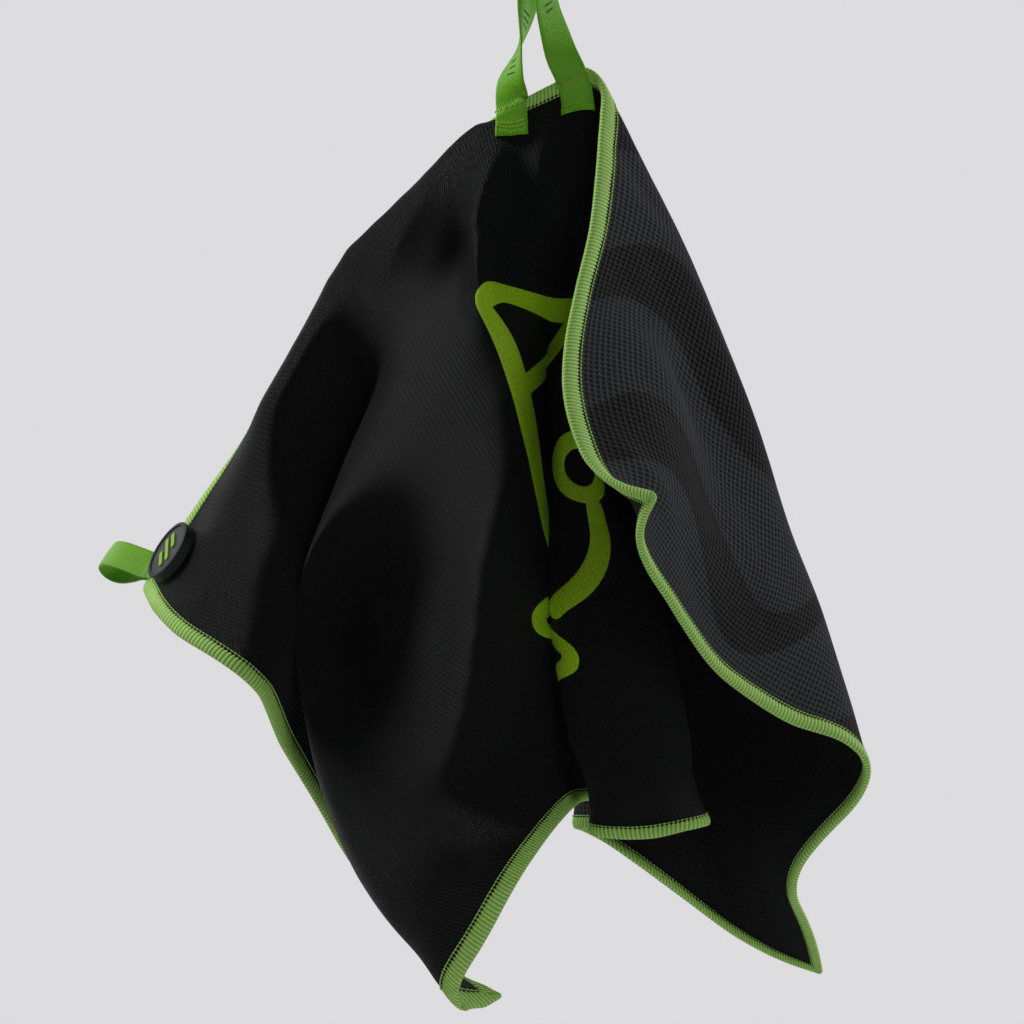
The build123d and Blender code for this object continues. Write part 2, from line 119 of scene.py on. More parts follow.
FOLD_LINES = {
    "shoulder_roll": [(-200, 20, -137, 2, -225), (-150, 20, -110, 0, -177), (-122, 16, -98, 2, -154),
                      (-90, 16, -77, 0, -133), (-60, 16, -54, -1, -111), (-32, 14, -32, -2, -90)],
    "outer_panel": [(-245, 66, -136, -14, -298), (-215, 60, -120, 2, -266), (-180, 60, -103, 8, -226)],
    "hidden_valley": [(-160, 70, -86, 10, -218), (-200, 135, -90, 28, -282), (-240, 200, -94, 34, -364),
                      (-270, 265, -88, 40, -422), (-290, 340, -64, 14, -476)],
    "long_crease": [(-122, 16, -98, 2, -154), (-118, 58, -74, -10, -184), (-150, 135, -94, -10, -248),
                    (-172, 180, -110, -10, -285), (-188, 225, -120, -10, -327),
                    (-203, 258, -117, -12, -362), (-215, 290, -111, -14, -395),
                    (-250, 335, -89, -16, -453), (-280, 395, -45, -20, -507)],
    "flap_fold": [(42, 17, 39, -3, -93), (97, 61, 70, -4, -156), (134, 90, 88, -2, -199),
                  (170, 118, 104, 0, -242), (207, 147, 118, 2, -286), (240, 173, 133, 4, -325),
                  (267, 194, 142, 5, -358), (293, 215, 152, 6, -390)],
    "rear_layer": [(75, 90, 44, 26, -165), (120, 160, 58, 52, -245), (170, 200, 76, 60, -306),
                   (200, 290, 80, 82, -386), (215, 340, 78, 86, -430)],
    "pleat_right": [(20, 40, 17, -2, -107), (32, 120, 20, -8, -180), (42, 200, 27, -13, -258),
                    (48, 245, 45, -17, -297), (50, 290, 60, -19, -341), (48, 340, 69, -21, -386)],
    "pleat_crown": [(20, 235, 22, -20, -290), (20, 290, 33, -30, -342), (14, 345, 41, -34, -388)],
    "pleat_left": [(-8, 150, 2, -3, -210), (-8, 200, 0, 2, -256), (-8, 250, 0, -4, -300),
                   (-9, 295, 5, -12, -343), (-12, 345, 12, -23, -387)],
    "groove": [(-15, 90, 2, 2, -155), (-20, 160, 1, 8, -218), (-28, 220, 2, 8, -272),
               (-36, 280, 13, 8, -327), (-50, 340, 35, 6, -376)],
    "groove_lip": [(-30, 130, -3, -2, -190), (-38, 170, -2, -6, -225), (-48, 220, -2, -12, -266),
                   (-60, 270, 0, -8, -306), (-85, 340, 9, 2, -366)],
    "pleat_back": [(56, 120, 18, 14, -178), (80, 200, 14, 20, -250), (105, 290, 25, 26, -335),
                   (118, 340, 22, 34, -380)],
    "broad_ridge": [(-70, 60, -38, -10, -150), (-85, 130, -42, -22, -205), (-95, 200, -40, -32, -270),
                    (-105, 270, -38, -38, -330), (-150, 345, -42, -36, -410)],
    "strap_ridge": [(-18, 20, -18, -6, -100), (-24, 60, -24, -16, -130), (-26, 100, -18, -14, -165)],
    "hollow": [(-130, 230, -80, 0, -315), (-140, 270, -80, 4, -350)],
    "front_flap": [(250, 30, 52, -88, -262), (200, 60, 66, -52, -232), (150, 40, 48, -36, -182),
                   (240, 110, 98, -34, -306)],
}
BADGE_CORNER = np.array([-195.0, 34.0, -314.0])
CORNER_ALONG = np.array([0.55, 0, 0.835])
CORNER_DOWN = np.array([0.22, -0.92, -0.32])
print(len(EDGE_LINES), "edges and", len(FOLD_LINES), "folds")

# %% [markdown]
# The lines have few points, so a smooth run through each adds more. Points nearer than 7 mm on the
# cloth would pull the sheet two ways at once, so the later one is left out.

# %% Keys of the spline


def run_along(line, step):
    """Points every step along a smooth curve through the line's own points."""
    points = np.array(line, float)
    lengths = np.linalg.norm(np.diff(points[:, 2:], axis=0), axis=1)
    at = np.r_[0, np.cumsum(lengths)]
    slope = np.gradient(points, at, axis=0)
    want = np.linspace(0, at[-1], max(2, int(round(at[-1] / step)) + 1))
    i = np.clip(np.searchsorted(at, want, side="right") - 1, 0, len(at) - 2)
    span = (at[i + 1] - at[i])[:, None]
    s = (want[:, None] - at[i][:, None]) / span
    start = (2 * s**3 - 3 * s**2 + 1) * points[i] + (s**3 - 2 * s**2 + s) * span * slope[i]
    end = (-2 * s**3 + 3 * s**2) * points[i + 1] + (s**3 - s**2) * span * slope[i + 1]
    return start + end


def shape_keys():
    """All the points that fix the hung shape, none closer on the cloth than 7 mm."""
    flat = [(along - HALF, down, *(BADGE_CORNER + CORNER_ALONG * along + CORNER_DOWN * down))
            for along in (8, 25, 42) for down in (8, 20, 34)]
    runs = [run_along(line, 14.0) for line in EDGE_LINES.values()] + [np.array(flat)]
    runs += [run_along(line, 18.0) for line in FOLD_LINES.values()]
    kept = []
    for key in np.vstack(runs):
        if all(math.dist(key[:2], other[:2]) > 7.0 for other in kept):
            kept.append(key)
    return np.array(kept)


KEYS = shape_keys()
print(len(KEYS), "keys")

# %% [markdown]
# The spline itself is one linear solve. Its answer is a function from places on the flat cloth to
# points in space, and every later piece uses it.

# %% The thin-plate spline


def bending(a, b):
    """Thin-plate bending term between two sets of places on the cloth."""
    square = ((a[:, None] - b[None]) ** 2).sum(-1) / 1e4
    return 0.5 * square * np.log(square + 1e-12)


def thin_plate(keys, ease=2e-3):
    """The smooth sheet through the keys: returns a function from places (u, v) to points."""
    places, count = keys[:, :2], len(keys)
    system = np.zeros((count + 3, count + 3))
    system[:count, :count] = bending(places, places) + ease * np.eye(count)
    system[:count, count:] = np.c_[np.ones(count), places / 100]
    system[count:, :count] = system[:count, count:].T
    weights = np.linalg.solve(system, np.r_[keys[:, 2:], np.zeros((3, 3))])

    def points(at):
        found = [bending(some, places) @ weights[:count]
                 + np.c_[np.ones(len(some)), some / 100] @ weights[count:]
                 for some in np.array_split(at, len(at) // 4000 + 1)]
        return np.vstack(found) + CLOTH_SHIFT

    return points


smooth_point = thin_plate(KEYS)
print("middle of the cloth hangs at", smooth_point(np.array([[0.0, 200.0]]))[0].round(1))

# %% [markdown]
# ## Small creases
# Between its big folds a real cloth has shallow drags: short tension lines that fan out from the
# strap, and slack ripples where the edge falls free. Each is one line on the flat cloth with a height
# and a width, and it lifts the cloth along its own normal, so it never changes the cut size.

# %% Drags and ripples: (u0, v0, u1, v1, height, half width)
CREASES = [
    (-20, 16, -52, 74, 1.3, 7), (-12, 18, -34, 112, -1.1, 6), (-26, 14, -92, 66, -1.0, 7),
    (-4, 14, -4, 92, 0.9, 6), (10, 22, 6, 120, -0.8, 5), (-30, 8, -128, 40, 0.9, 6),
    (-136, 40, -176, 120, 0.9, 9), (-150, 150, -196, 206, -1.0, 9), (-120, 66, -128, 150, 0.9, 12),
    (-66, 140, -74, 262, 1.0, 15), (-118, 180, -132, 262, -0.9, 13), (-60, 250, -112, 330, 1.0, 13),
    (-206, 300, -262, 372, 1.1, 8), (-160, 330, -208, 388, -1.1, 9), (-228, 90, -268, 150, 0.9, 9),
    (-276, 60, -288, 108, -1.2, 7), (-250, 30, -284, 60, 0.8, 8), (-190, 36, -232, 84, -0.8, 9),
    (-100, 330, -132, 392, 1.0, 10), (-60, 330, -84, 390, -0.9, 9), (-28, 320, -36, 392, 1.0, 8),
    (4, 150, 6, 250, 0.7, 5), (34, 260, 30, 370, -0.8, 8), (22, 60, 24, 140, 0.8, 6),
    (60, 6, 96, 44, 0.8, 6), (120, 20, 168, 76, -0.8, 9), (180, 24, 236, 100, 0.9, 10),
    (230, 14, 268, 52, -0.9, 7), (262, 60, 286, 128, 0.9, 8), (206, 84, 262, 160, -0.7, 9),
    (160, 190, 214, 270, 0.9, 12), (210, 220, 256, 300, -0.9, 11), (240, 290, 276, 372, 1.1, 9),
    (200, 330, 238, 392, -1.0, 9), (120, 200, 160, 300, 0.8, 13), (270, 240, 284, 300, -0.9, 7),
]


CREASE_DEPTH = 1.4


def crease_lift(at):
    """How far the small creases lift the cloth at places (u, v)."""
    lift = np.zeros(len(at))
    for u0, v0, u1, v1, height, half in CREASES:
        start, run = np.array([u0, v0], float), np.array([u1 - u0, v1 - v0], float)
        length = np.linalg.norm(run)
        along = (at - start) @ run / length**2
        bow = 0.06 * length * np.sin(np.clip(along, 0, 1) * math.pi)
        beside = (at - start) @ np.array([run[1], -run[0]]) / length - bow
        fade = np.exp(-(np.clip(np.abs(along - 0.5) - 0.28, 0, None) / 0.16) ** 2)
        lift += CREASE_DEPTH * height * fade * np.exp(-(beside / half) ** 2)
    return lift


def smooth_frame(at):
    """Middle points and printed-face normals of the smooth sheet at places (u, v)."""
    across = smooth_point(at + (1.0, 0)) - smooth_point(at - (1.0, 0))
    down = smooth_point(at + (0, 1.0)) - smooth_point(at - (0, 1.0))
    normal = np.cross(down, across)
    return smooth_point(at), normal / np.linalg.norm(normal, axis=1)[:, None]


def on_cloth(places, lift=0.0):
    """Points over the creased cloth at places (u, v), lift millimetres out from its middle."""
    at = np.asarray(places, float).reshape(-1, 2)
    middle, normal = smooth_frame(at)
    lift = np.broadcast_to(np.asarray(lift, float), (len(at),))
    return middle + normal * (crease_lift(at) + lift)[:, None]


print("deepest crease", round(float(np.abs([crease[4] for crease in CREASES]).max()), 1), "mm")

# %% [markdown]
# ## Helpers for meshes and materials
# Every piece below is a grid of points, so one helper turns a grid into a mesh with a flat layout in
# real millimetres. Patterns read that layout, so a weave keeps its size wherever the cloth bends.

# %% Mesh helper


def grid_mesh(name, points, flat, materials, closed_across=False, cap=False, slots=None, crest_shades=None):
    """A mesh over points[i][j] in millimetres; flat[i][j] is each point's place on the flat piece."""
    rows, columns = points.shape[:2]
    vertices = (points.reshape(-1, 3) * MM).tolist()
    last = columns if closed_across else columns - 1
    faces = [(i * columns + j, i * columns + (j + 1) % columns, (i + 1) * columns + (j + 1) % columns,
              (i + 1) * columns + j) for i in range(rows - 1) for j in range(last)]
    if cap:
        faces += [tuple(range(columns))[::-1], tuple(range((rows - 1) * columns, rows * columns))]
    return finish_mesh(name, vertices, faces, flat.reshape(-1, 2), materials, slots, crest_shades)


def finish_mesh(name, vertices, faces, flat, materials, slots=None, crest_shades=None):
    mesh = bpy.data.meshes.new(name)
    mesh.from_pydata(vertices, [], faces)
    layout = mesh.uv_layers.new(name="flat")
    corner = np.empty(len(mesh.loops), np.int32)
    mesh.loops.foreach_get("vertex_index", corner)
    layout.data.foreach_set("uv", (np.asarray(flat, np.float32) * MM)[corner].ravel())
    for made in materials:
        mesh.materials.append(made)
    if slots is not None:
        mesh.polygons.foreach_set("material_index", np.asarray(slots, np.int32))
    if crest_shades is not None:
        layer = mesh.attributes.new("crest_shade", "FLOAT", "POINT")
        layer.data.foreach_set("value", np.asarray(crest_shades, np.float32))
    mesh.polygons.foreach_set("use_smooth", np.ones(len(mesh.polygons), bool))
    mesh.update()
    piece = bpy.data.objects.new(name, mesh)
    bpy.context.scene.collection.objects.link(piece)
    return piece


# %% [markdown]
# Colours are written as sRGB hex values, as a dye card gives them, and shaders want linear light.
# One helper adds a node with its settings and its inputs: an input is a number, a colour or another
# node's output.

# %% Colour and node helpers


def linear(colour):
    """Linear RGBA of an sRGB hex colour such as "#A6F015"."""
    parts = [int(colour[i:i + 2], 16) / 255 for i in (1, 3, 5)]
    return tuple(c / 12.92 if c <= 0.04045 else ((c + 0.055) / 1.055) ** 2.4 for c in parts) + (1.0,)


def add(tree, kind, inputs=None, **settings):
    """Adds one node; settings are its properties and inputs its sockets."""
    node = tree.nodes.new("ShaderNode" + kind)
    for key, value in settings.items():
        setattr(node, key, value)
    for key, value in (inputs or {}).items():
        if isinstance(value, bpy.types.NodeSocket):
            tree.links.new(value, node.inputs[key])
        else:
            node.inputs[key].default_value = value
    return node


def start_material(name, **sockets):
    """A material with its shader's constant sockets set."""
    made = bpy.data.materials.new(name)
    made.use_nodes = True
    shader = made.node_tree.nodes["Principled BSDF"]
    for key, value in sockets.items():
        shader.inputs[key.replace("_", " ")].default_value = value
    return made, made.node_tree, shader


def join(tree, shader, colour=None, roughness=None, height=None, depth=0.0002, strength=1.0):
    """Links a colour, a roughness and a bump height in metres to the shader."""
    if colour is not None:
        tree.links.new(colour, shader.inputs["Base Color"])
    if roughness is not None:
        tree.links.new(roughness, shader.inputs["Roughness"])
    if height is not None:
        bump = add(tree, "Bump", {"Height": height, "Distance": depth, "Strength": strength})
        tree.links.new(bump.outputs["Normal"], shader.inputs["Normal"])


def flat_millimetres(tree):
    """The piece's flat layout in millimetres, whole and as its x and y."""
    layout = add(tree, "UVMap", uv_map="flat")
    scaled = add(tree, "VectorMath", {0: layout.outputs["UV"], 1: (1000, 1000, 1000)}, operation="MULTIPLY")
    split = add(tree, "SeparateXYZ", {"Vector": scaled.outputs["Vector"]})
    return scaled.outputs["Vector"], split.outputs["X"], split.outputs["Y"]


def math_of(tree, operation, *values):
    """The output of one Math node."""
    return add(tree, "Math", dict(enumerate(values)), operation=operation).outputs[0]


def wave_of(tree, value, factor, phase=0.0):
    """Sine of value times factor plus phase."""
    return math_of(tree, "SINE", math_of(tree, "MULTIPLY_ADD", value, factor, phase))


def mix(tree, share, low, high):
    """The colour that goes from low to high as share goes from 0 to 1."""
    return add(tree, "Mix", {0: share, 6: low, 7: high}, data_type="RGBA").outputs[2]


def ramp(tree, value, low, high):
    """0 where value is under low, 1 over high, and smooth between."""
    return add(tree, "MapRange", {"Value": value, "From Min": low, "From Max": high},
               interpolation_type="SMOOTHSTEP").outputs["Result"]


print("helpers ready")

# %% [markdown]
# ## Microfibre, the printed face
# The face is brushed microfibre: split polyester filaments with a short nap, woven with a slanted
# grain. The nap has no clear gloss, but it catches light that grazes it, which is what sheen does.
# The grain repeats every 2 mm. Lint and pressure leave it uneven,
# so a broad noise changes its colour a little.

# %% Brushed microfibre, dyed black


def slanted_grain(tree, place, x, y, pitch):
    """Short slanted dashes of a brushed weave, 0 to 1, about pitch millimetres apart."""
    slant = math_of(tree, "MULTIPLY_ADD", y, 0.55, x)
    wave = math_of(tree, "SINE", math_of(tree, "MULTIPLY", slant, 2 * math.pi / pitch))
    cross = math_of(tree, "SINE", math_of(tree, "MULTIPLY", y, 2 * math.pi / (pitch * 1.25)))
    weave = math_of(tree, "MULTIPLY_ADD", math_of(tree, "MULTIPLY", wave, cross), 0.5, 0.5)
    nap = add(tree, "TexNoise", {"Vector": place, "Scale": 0.7, "Detail": 5.0, "Roughness": 0.75})
    return math_of(tree, "MULTIPLY", weave, 0.45), nap.outputs["Fac"]


suede, tree, shader = start_material("brushed_microfibre_black", Roughness=0.5, IOR=1.5,
                                     Sheen_Weight=0.06, Sheen_Roughness=0.4,
                                     Sheen_Tint=linear("#C9CCD2"), Specular_IOR_Level=0.3)
place, x, y = flat_millimetres(tree)
weave, nap = slanted_grain(tree, place, x, y, 2.0)
relief = math_of(tree, "ADD", weave, nap)
lint = add(tree, "TexNoise", {"Vector": place, "Scale": 0.035, "Detail": 3.0, "Roughness": 0.6})
dyed = mix(tree, ramp(tree, relief, 0.42, 1.0), linear("#020203"), linear("#161719"))
worn = mix(tree, ramp(tree, lint.outputs["Fac"], 0.35, 0.8), dyed, linear("#08080A"))
join(tree, shader, colour=worn, roughness=math_of(tree, "MULTIPLY_ADD", nap, -0.25, 0.66), height=relief,
     depth=0.003, strength=1.0)
print(suede.name)

# %% [markdown]
# ## Microfibre, the waffle face
# The back is waffle weave: small square cells with a raised rim, which trap dirt. The cells are
# 2.6 mm across. The height of a cell is the product of two sines, one each way, and the colour is
# painted darker in the pits and lighter on the rims, as painted shade. Broad dark ribbons are dyed
# into it, here as plain waves of this lesson's own: their place comes from the flat layout, and
# their edges are soft because dye creeps along the threads.

# %% Waffle microfibre, grey with dyed ribbons
WAFFLE_PITCH = 2.6
waffle, tree, shader = start_material("waffle_microfibre_grey", Roughness=0.82, IOR=1.5,
                                      Sheen_Weight=0.12, Sheen_Roughness=0.5,
                                      Sheen_Tint=linear("#D4D6DA"), Specular_IOR_Level=0.3)
place, x, y = flat_millimetres(tree)
cell_x = math_of(tree, "ABSOLUTE", wave_of(tree, x, math.pi / WAFFLE_PITCH))
cell_y = math_of(tree, "ABSOLUTE", wave_of(tree, y, math.pi / WAFFLE_PITCH))
cell = math_of(tree, "MULTIPLY", cell_x, cell_y)
fuzz = add(tree, "TexNoise", {"Vector": place, "Scale": 1.6, "Detail": 3.0, "Roughness": 0.7})
height = math_of(tree, "MULTIPLY_ADD", fuzz.outputs["Fac"], 0.55, math_of(tree, "SUBTRACT", 1.0, cell))
sway = math_of(tree, "MULTIPLY", wave_of(tree, y, 1 / 27.0), 20.0)
swell = math_of(tree, "MULTIPLY", wave_of(tree, y, 1 / 61.0, 1.9), 34.0)
across = math_of(tree, "MULTIPLY_ADD", y, 0.42, math_of(tree, "ADD", x, math_of(tree, "ADD", sway, swell)))
stripe = math_of(tree, "PINGPONG", across, 46.0)
width = math_of(tree, "MULTIPLY_ADD", wave_of(tree, y, 1 / 39.0), 5.0, 14.0)
dye = ramp(tree, math_of(tree, "SUBTRACT", stripe, width), -1.2, 1.2)
# Both colours are darker in the cell pits than on the rims: painted shade, mixed with the fuzz noise.
ground_pit_shaded = mix(tree, ramp(tree, height, 0.3, 1.25), linear("#141517"), linear("#3E3F42"))
ribbon_pit_shaded = mix(tree, ramp(tree, height, 0.3, 1.25), linear("#030304"), linear("#0C0C0D"))
join(tree, shader, colour=mix(tree, dye, ribbon_pit_shaded, ground_pit_shaded), height=height, depth=0.0012, strength=1.0)
print(waffle.name, "cells", WAFFLE_PITCH, "mm")

# %% [markdown]
# ## Thread and webbing
# The overlock thread is textured polyester, soft and matt, wound round the edge. Its colour carries a
# painted highlight on the crest of each turn and painted shade in the gap between two turns, from a
# value that the mesh carries: 1 on a crest, 0 in a gap.

# %% Overlock thread, pale lime
overlock, tree, shader = start_material("textured_polyester_thread", Roughness=0.6, IOR=1.5,
                                        Sheen_Weight=0.25, Sheen_Roughness=0.4,
                                        Sheen_Tint=linear("#F2FFE0"))
place, x, y = flat_millimetres(tree)
crest = add(tree, "Attribute", attribute_name="crest_shade").outputs["Fac"]
twist = add(tree, "TexNoise", {"Vector": place, "Scale": 2.4, "Detail": 2.0})
crest_light_and_shade = math_of(tree, "MULTIPLY", crest, 0.8)
twist_and_crest_shading = math_of(tree, "MULTIPLY_ADD", twist.outputs["Fac"], 0.35, crest_light_and_shade)
# Painted highlight on the crests and painted shade in the gaps, with the thread's own twist noise.
colour = mix(tree, ramp(tree, twist_and_crest_shading, 0.05, 0.85), linear("#6AB02C"), linear("#CBFA82"))
join(tree, shader, colour=colour, height=twist.outputs["Fac"], depth=0.0003, strength=0.6)
print(overlock.name)

# %% [markdown]
# The strap is flat polyester webbing. A flat weave shows as a fine slanted twill with two firmer
# lines near the selvedges. The pattern runs on the strip's own length and width in millimetres.

# %% Woven webbing, lime


def webbing_material(name, light, dark):
    made, tree, shader = start_material(name, Roughness=0.5, IOR=1.5, Sheen_Weight=0.2,
                                        Sheen_Roughness=0.35, Sheen_Tint=linear("#EFFFD0"))
    place, x, y = flat_millimetres(tree)
    slant = math_of(tree, "MULTIPLY_ADD", y, 0.8, x)
    rib = math_of(tree, "SINE", math_of(tree, "MULTIPLY", slant, 2 * math.pi / 1.1))
    weft = math_of(tree, "SINE", math_of(tree, "MULTIPLY", y, 2 * math.pi / 0.9))
    yarn = math_of(tree, "MULTIPLY_ADD", math_of(tree, "MULTIPLY_ADD", weft, 0.35, rib), 0.37, 0.5)
    edge = math_of(tree, "ABSOLUTE", x)
    line = math_of(tree, "SUBTRACT", ramp(tree, edge, 6.3, 6.6), ramp(tree, edge, 6.9, 7.2))
    soil = add(tree, "TexNoise", {"Vector": place, "Scale": 0.12, "Detail": 4.0})
    woven = mix(tree, ramp(tree, yarn, 0.1, 0.9), linear(dark), linear(light))
    lined = mix(tree, math_of(tree, "MULTIPLY", line, 0.55), woven, linear(dark))
    used = mix(tree, math_of(tree, "MULTIPLY", ramp(tree, soil.outputs["Fac"], 0.45, 0.8), 0.3), lined,
               linear(dark))
    join(tree, shader, colour=used, height=yarn, depth=0.00025, strength=0.7)
    return made


webbing = webbing_material("woven_polyester_webbing", "#94E60A", "#58A804")
tab_webbing = webbing_material("woven_webbing_pull_tab", "#A2E440", "#66B41C")
print(webbing.name, tab_webbing.name)

# %% Sewing thread and screen-printed ink
sewing, tree, shader = start_material("spun_sewing_thread", Roughness=0.55, IOR=1.5, Sheen_Weight=0.2)
place, x, y = flat_millimetres(tree)
ply = math_of(tree, "SINE", math_of(tree, "MULTIPLY", math_of(tree, "MULTIPLY_ADD", y, 0.9, x), 9.0))
spun = mix(tree, ramp(tree, ply, -1, 1), linear("#8FB01E"), linear("#D6E860"))
join(tree, shader, colour=spun, height=ply, depth=0.0001, strength=0.5)

# The ink sits on the nap, so the weave breaks through it as dark specks.
ink, tree, shader = start_material("screen_ink_lime", Roughness=0.42, IOR=1.48, Sheen_Weight=0.1,
                                   Coat_Weight=0.08, Coat_Roughness=0.35)
place, x, y = flat_millimetres(tree)
weave, nap = slanted_grain(tree, place, x, y, 1.3)
relief = math_of(tree, "ADD", weave, nap)
blotch = add(tree, "TexNoise", {"Vector": place, "Scale": 0.09, "Detail": 3.0})
hole = math_of(tree, "MULTIPLY_ADD", blotch.outputs["Fac"], -0.35, relief)
lime = mix(tree, ramp(tree, relief, 0.4, 0.95), linear("#9BDC00"), linear("#CFFF1C"))
join(tree, shader, colour=mix(tree, ramp(tree, hole, 0.24, 0.36), linear("#1E2A08"), lime), height=relief,
     depth=0.0005, strength=0.8)
dark_ink, tree, shader = start_material("screen_ink_black", Roughness=0.5, IOR=1.48)
place, x, y = flat_millimetres(tree)
speck = add(tree, "TexNoise", {"Vector": place, "Scale": 1.3, "Detail": 3.0})
join(tree, shader, colour=mix(tree, speck.outputs["Fac"], linear("#0A0F06"), linear("#1D2A12")),
     height=speck.outputs["Fac"], depth=0.0001)
print(sewing.name, ink.name, dark_ink.name)

# %% [markdown]
# ## The two cloth panels
# One sheet of cloth is split where the front flap folds, because the flap turns there. The main panel
# rides on the towel, and the flap panel leaves it at the fold line. Each panel is closed: a printed skin, a
# waffle skin, and a narrow wall round the cut edge. The waffle skin has its own material, so that
# each side of the cloth is what it really is.

# %% Cloth panels
EDGE_INSET = 2.0
HALF_THICK = CLOTH_THICK / 2


def fold_v(u):
    """Where the flap's fold line crosses the cloth at u."""
    return np.maximum(0.0, (u - FLAP_ROOT_U) * FLAP_END_V / (HALF - FLAP_ROOT_U))


def cloth_panel(name, left, right, top_of, foot_of, columns, rows):
    """A closed two-sided panel between top_of(u) and foot_of(u)."""
    u = np.linspace(left, right, columns)
    share = np.linspace(0, 1, rows)
    top, foot = top_of(u), foot_of(u)
    places = np.stack([np.repeat(u[:, None], rows, 1), top[:, None] + (foot - top)[:, None] * share], -1)
    places = places.reshape(-1, 2)
    middle, normal = smooth_frame(places)
    lift = crease_lift(places)[:, None]
    skins = [middle + normal * (lift + side * HALF_THICK) for side in (1, -1)]
    count = columns * rows
    quads = [(i * rows + j, (i + 1) * rows + j, (i + 1) * rows + j + 1, i * rows + j + 1)
             for i in range(columns - 1) for j in range(rows - 1)]
    faces = [quad[::-1] for quad in quads] + [tuple(k + count for k in quad) for quad in quads]
    slots = [0] * len(quads) + [1] * len(quads)
    rim = ([i * rows for i in range(columns)] + [(columns - 1) * rows + j for j in range(1, rows)]
           + [i * rows + rows - 1 for i in range(columns - 2, -1, -1)] + list(range(rows - 2, 0, -1)))
    for k, here in enumerate(rim):
        ahead = rim[(k + 1) % len(rim)]
        faces.append((here, ahead, ahead + count, here + count))
        slots.append(1)
    points = np.vstack(skins) * MM
    return finish_mesh(name, points.tolist(), faces, np.vstack([places, places]), [suede, waffle], slots)


main_cloth = cloth_panel("towel_panel", -HALF + EDGE_INSET, HALF - EDGE_INSET,
                         lambda u: np.maximum(EDGE_INSET, fold_v(u)),
                         lambda u: np.full(len(u), CLOTH_DROP - EDGE_INSET), 231, 157)
flap_cloth = cloth_panel("front_flap_panel", FLAP_ROOT_U + 2.7, HALF - EDGE_INSET,
                         lambda u: np.full(len(u), EDGE_INSET),
                         lambda u: np.maximum(EDGE_INSET + 0.05, fold_v(u)), 113, 73)
for panel in (main_cloth, flap_cloth):
    print(panel.name, len(panel.data.polygons), "faces")

# %% [markdown]
# ## The overlocked edge
# An overlock machine winds thread round the cut edge and locks it with a needle line on each face.
# Wound thread is a bead with slanted ribs, 1.9 mm apart; here they are 2 mm. It could be one helix of
# tube, but a thousand turns of tube are heavy, so the bead is swept along the edge and its height
# rises and falls once a rib, with a slant that carries each rib round from one face to the other.

# %% The cut edge as a path on the flat cloth
EDGE_CORNER_R = 5.0


def cut_edge(stops, step):
    """Places along the runs between stops, with rounded corners, and their inward directions."""
    stops = [np.array(stop, float) for stop in stops]
    line = [stops[0]]
    for before, corner, after in zip(stops, stops[1:], stops[2:]):
        back, on = (before - corner), (after - corner)
        back, on = back / np.linalg.norm(back), on / np.linalg.norm(on)
        centre = corner + (back + on) * EDGE_CORNER_R
        line += [centre - (on * math.cos(a) + back * math.sin(a)) * EDGE_CORNER_R
                 for a in np.linspace(0, math.pi / 2, 9)]
    line.append(stops[-1])
    line = np.array(line)
    at = np.r_[0, np.cumsum(np.linalg.norm(np.diff(line, axis=0), axis=1))]
    want = np.linspace(0, at[-1], int(at[-1] / step) + 1)
    places = np.stack([np.interp(want, at, line[:, k]) for k in (0, 1)], 1)
    ahead = np.gradient(places, axis=0)
    ahead /= np.linalg.norm(ahead, axis=1)[:, None]
    inward = np.stack([-ahead[:, 1], ahead[:, 0]], 1)
    middle = np.array([0.0, CLOTH_DROP / 2])
    inward *= np.sign(((middle - places) * inward).sum(1).mean())
    return places, inward, want


MAIN_STOPS = [(FLAP_ROOT_U, 0), (-HALF, 0), (-HALF, CLOTH_DROP), (HALF, CLOTH_DROP), (HALF, FLAP_END_V)]
FLAP_STOPS = [(FLAP_ROOT_U, 0), (HALF, 0), (HALF, FLAP_END_V)]
RIB_PITCH = 2.0
SAMPLES_PER_RIB = 5

# The bead's outline: how far in from the cut edge, and how far out from the cloth's middle.
BEAD = [(6.3, 0.75), (5.9, 1.2), (4.6, 1.6), (2.8, 1.8), (1.0, 1.7), (-0.5, 1.15), (-1.1, 0.0),
        (-0.5, -1.15), (1.0, -1.7), (2.8, -1.8), (4.6, -1.6), (5.9, -1.2), (6.3, -0.75)]


def edge_frames(stops):
    """Points of the cut edge, the direction into the cloth and its normal, along a run of stops."""
    places, inward, at = cut_edge(stops, RIB_PITCH / SAMPLES_PER_RIB)
    rim = on_cloth(places)
    inside = on_cloth(places + inward * EDGING_WIDTH)
    normal = smooth_frame(places + inward * 2.0)[1]
    return rim, (inside - rim) / EDGING_WIDTH, normal, at


def overlock_bead(name, frames):
    rim, inward, normal, at = frames
    count = len(BEAD)
    around = np.arange(count) / (count - 1)
    crest = np.cos(2 * math.pi * (at[:, None] / RIB_PITCH + 1.3 * around[None]))
    wander = 0.12 * np.sin(at / 7.3) + 0.1 * np.sin(at / 3.1 + 1)
    tip = np.abs(np.array([e for e, _ in BEAD]) > 5.5)
    inset = np.array([e for e, _ in BEAD])[None] + crest * 0.45 * tip[None] + wander[:, None] * tip[None]
    height = np.array([h for _, h in BEAD])[None] * (1 + 0.13 * crest)
    points = (rim[:, None] + inward[:, None] * inset[..., None] + normal[:, None] * height[..., None])
    flat = np.stack([np.broadcast_to(at[:, None], crest.shape),
                     np.broadcast_to(around * 17, crest.shape)], -1)
    # The crest value given to the mesh paints a highlight on each rib's crest and shade in each gap.
    return grid_mesh(name, points, flat, [overlock], closed_across=True, cap=True,
                     crest_shades=(crest.ravel() * 0.5 + 0.5))


